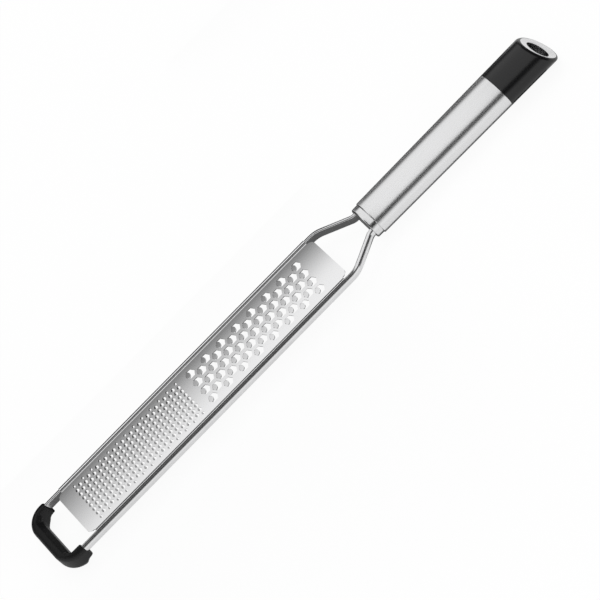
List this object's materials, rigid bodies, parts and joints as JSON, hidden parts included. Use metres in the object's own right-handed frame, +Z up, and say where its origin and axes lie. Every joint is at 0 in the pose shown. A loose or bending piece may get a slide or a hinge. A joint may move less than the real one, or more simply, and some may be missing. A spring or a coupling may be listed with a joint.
{
  "type": "rasp zester",
  "caption": "Hand-held rasp zester: a narrow steel blade with a fine and a coarse tooth field on a bent bar, with a rubber tip foot and an oval handle.",
  "frame": {"origin": "middle of the bounding box's bottom face, in the plane that the foot and the handle's end rest on", "axes": "+X along the tool from the foot to the handle's end, +Y across it, +Z up with the cutting face on top"},
  "size_m": [0.3759, 0.0446, 0.0191],
  "materials": {
    "blade_steel": "satin",
    "frame_steel": "polished",
    "foot_rubber": "matte",
    "ferrule_steel": "polished",
    "handle_steel": "brushed along the handle",
    "core_plastic": "matte",
    "cap_plastic": "semi-gloss",
    "eyelet_steel": "polished"
  },
  "bodies": {
    "root": {"blade": "blade_steel", "frame": "frame_steel", "foot": "foot_rubber", "ferrule": "ferrule_steel", "handle_tube": "handle_steel", "tang_core": "core_plastic", "end_cap": "cap_plastic", "hanging_eyelet": "eyelet_steel"}
  },
  "joints": []
}
